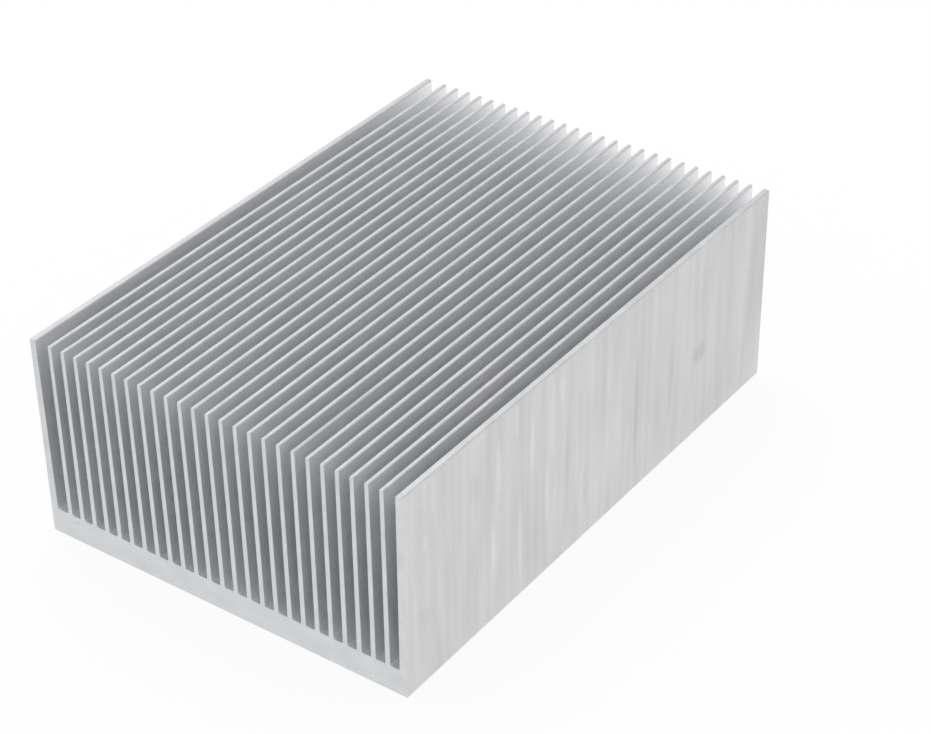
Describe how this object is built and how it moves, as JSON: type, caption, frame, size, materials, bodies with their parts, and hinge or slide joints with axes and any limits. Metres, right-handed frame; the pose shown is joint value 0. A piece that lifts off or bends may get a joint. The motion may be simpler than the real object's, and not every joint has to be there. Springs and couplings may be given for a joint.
{
  "type": "extruded heat sink",
  "caption": "Extruded aluminium heat sink: a flat rectangular base carrying a dense comb of thin straight fins between two thicker outer walls, sawn to length.",
  "frame": {"origin": "centre of the flat mounting face on the underside of the base", "axes": "+X across the fins, +Y along the extrusion, which is the longest side, and +Z from the mounting face up to the fin tips"},
  "size_m": [0.069, 0.1, 0.036],
  "materials": {
    "mill_aluminium": "bare mill finish as extruded, with faint die lines along the length; the two ends are sawn and matt"
  },
  "bodies": {
    "root": {"heat_sink": "mill_aluminium"}
  },
  "joints": []
}
